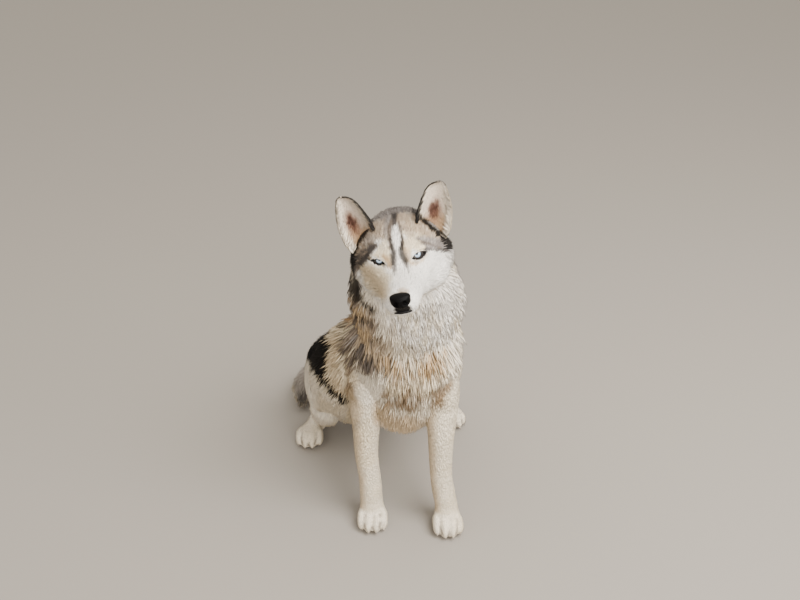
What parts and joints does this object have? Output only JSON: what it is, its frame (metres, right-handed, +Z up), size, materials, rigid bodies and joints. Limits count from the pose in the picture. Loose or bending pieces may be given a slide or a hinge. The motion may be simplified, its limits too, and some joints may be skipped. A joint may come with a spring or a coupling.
{
  "type": "siberian husky",
  "caption": "Life-size seated husky with upright ears, thick ruff and bushy tail, resting on its paws, rump and tail.",
  "frame": {"origin": "on the floor, under the middle of the whole dog's box", "axes": "+Z up, the dog faces -Y, +X to its left side"},
  "size_m": [0.4176, 0.7162, 0.7574],
  "materials": {
    "face_coat": "short dense fur, white and cream with a grey and black mask",
    "ruff_coat": "long soft guard hair over down, cream with tan and grey",
    "body_coat": "medium-long double coat, cream and grey with a black saddle",
    "leg_coat": "short smooth cream-white fur",
    "tail_coat": "long bushy fur, grey-brown above and pale below",
    "ear_coat": "short velvety fur, dark behind and cream-pink within",
    "nose_skin": "moist black pebbled skin",
    "eye": "wet, clear, pale blue iris",
    "claw": "smooth dark horn"
  },
  "bodies": {
    "root": {"head": "face_coat", "nose": "nose_skin", "neck": "ruff_coat", "torso": "body_coat", "tail_root": "tail_coat", "tail_tip": "tail_coat", "ear_left": "ear_coat", "eye_left": "eye", "thigh_left": "leg_coat", "foreleg_left": "leg_coat", "forepaw_left": "leg_coat", "hock_left": "leg_coat", "hindpaw_left": "leg_coat", "claw_forepaw_left_1": "claw", "claw_forepaw_left_2": "claw", "claw_forepaw_left_3": "claw", "claw_forepaw_left_4": "claw", "claw_hindpaw_left_1": "claw", "claw_hindpaw_left_2": "claw", "claw_hindpaw_left_3": "claw", "claw_hindpaw_left_4": "claw", "ear_right": "ear_coat", "eye_right": "eye", "thigh_right": "leg_coat", "foreleg_right": "leg_coat", "forepaw_right": "leg_coat", "hock_right": "leg_coat", "hindpaw_right": "leg_coat", "claw_forepaw_right_1": "claw", "claw_forepaw_right_2": "claw", "claw_forepaw_right_3": "claw", "claw_forepaw_right_4": "claw", "claw_hindpaw_right_1": "claw", "claw_hindpaw_right_2": "claw", "claw_hindpaw_right_3": "claw", "claw_hindpaw_right_4": "claw"}
  },
  "joints": []
}
